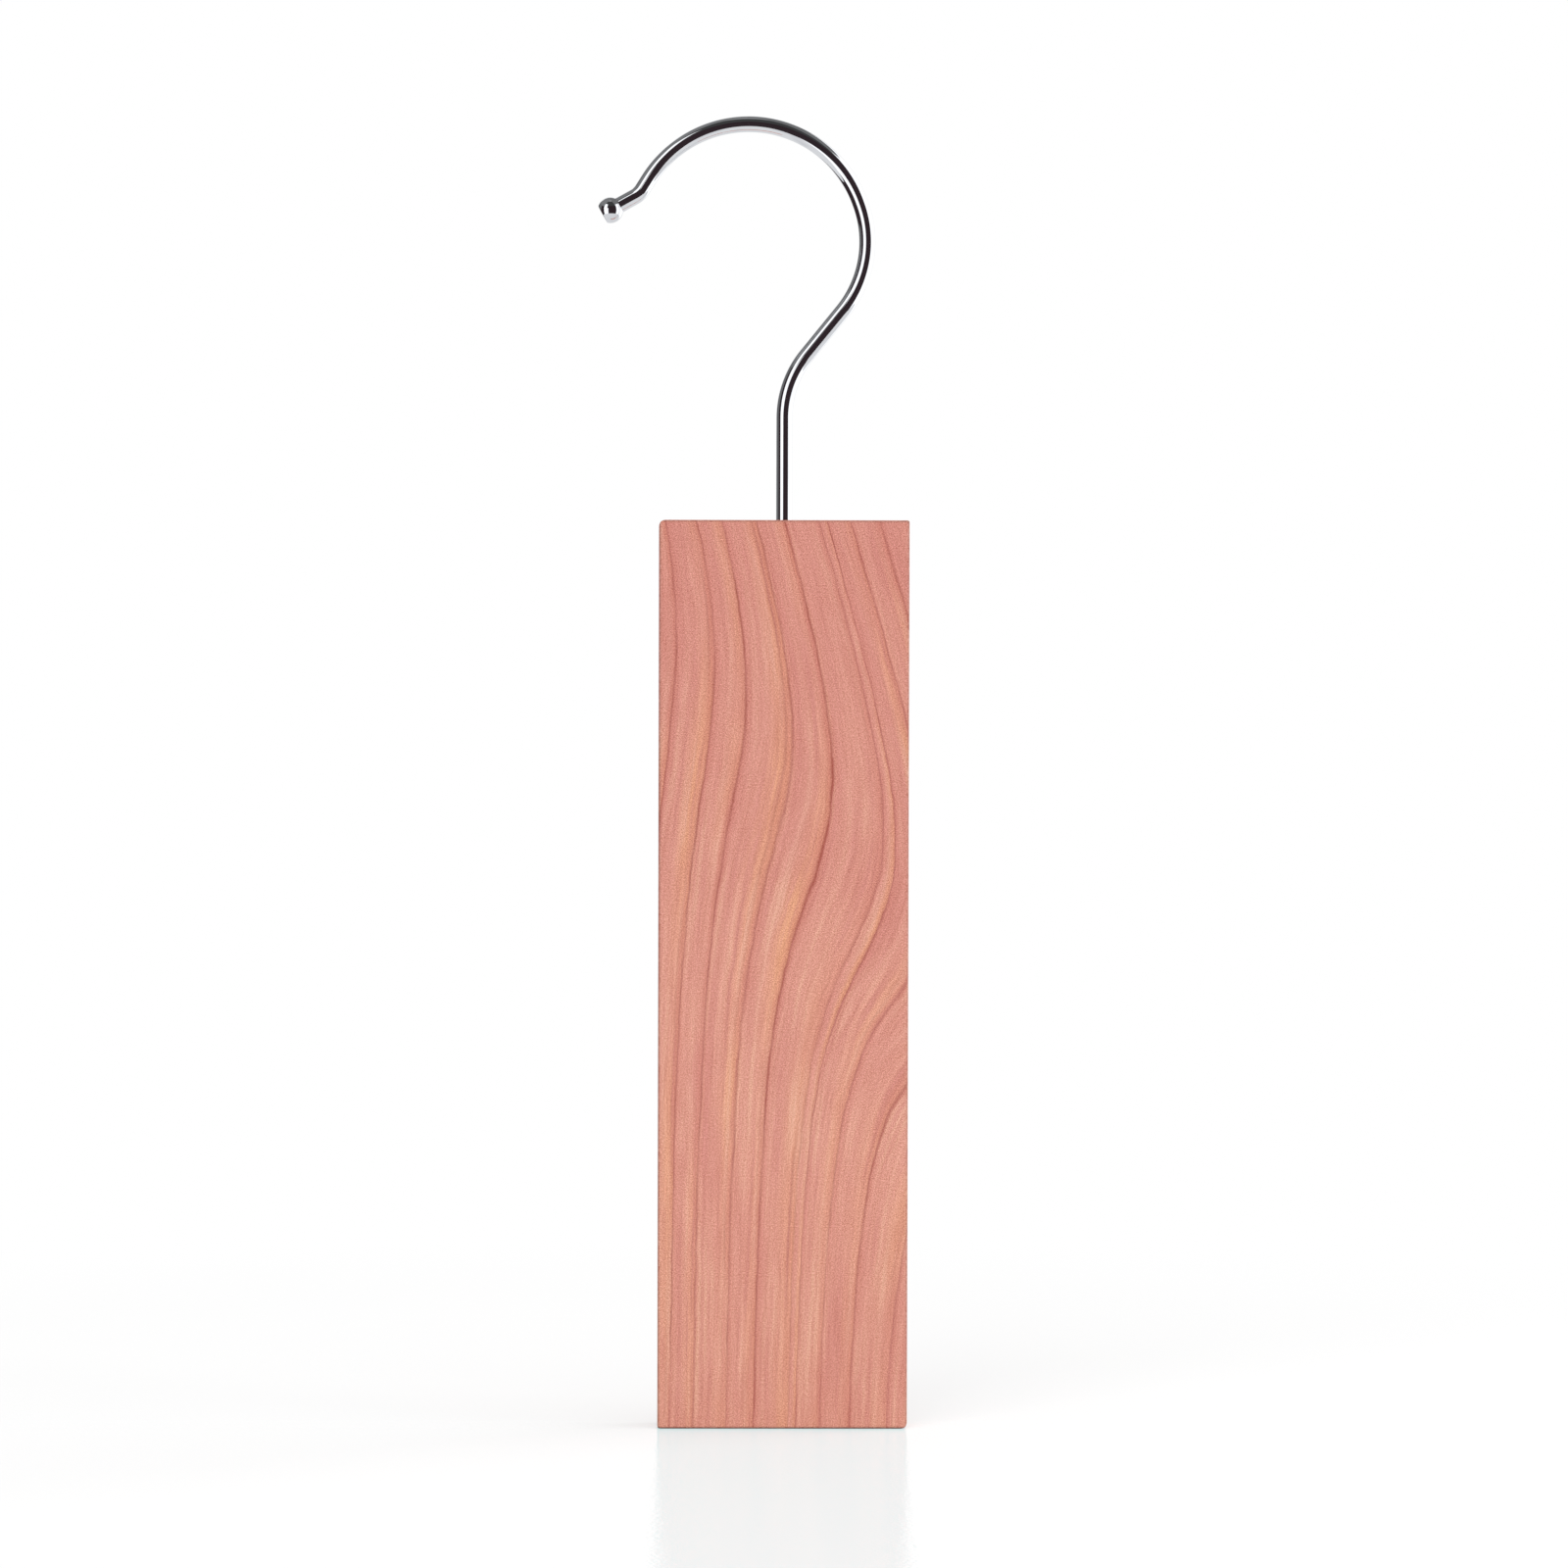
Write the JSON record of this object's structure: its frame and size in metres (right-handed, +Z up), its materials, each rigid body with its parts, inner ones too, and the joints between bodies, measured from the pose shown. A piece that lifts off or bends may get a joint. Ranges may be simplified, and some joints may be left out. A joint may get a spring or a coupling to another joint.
{
  "type": "cedar hanger block",
  "caption": "Slim upright cedar board on a turning chromed wire hook, hung from a wardrobe rail to scent clothes.",
  "frame": {"origin": "middle of the block's foot, on the axis of the hook's shank", "axes": "+Z up along the block and the hook's shank, -Y out of the front face, -X towards the hook's mouth"},
  "size_m": [0.0685, 0.012, 0.2887],
  "materials": {
    "cedar": "planed and sanded, unsealed, matte",
    "sleeve_steel": "zinc plated, dull",
    "hook_chrome": "bright chrome plate, polished"
  },
  "bodies": {
    "block": {"cedar_block": "cedar", "swivel_sleeve": "sleeve_steel"},
    "hook": {"hook": "hook_chrome"}
  },
  "joints": [
    {"name": "hook_swivel", "type": "hinge", "parent": "block", "child": "hook", "pos_m": [0, 0, 0.2], "axis": [0, 0, 1], "continuous": true}
  ]
}
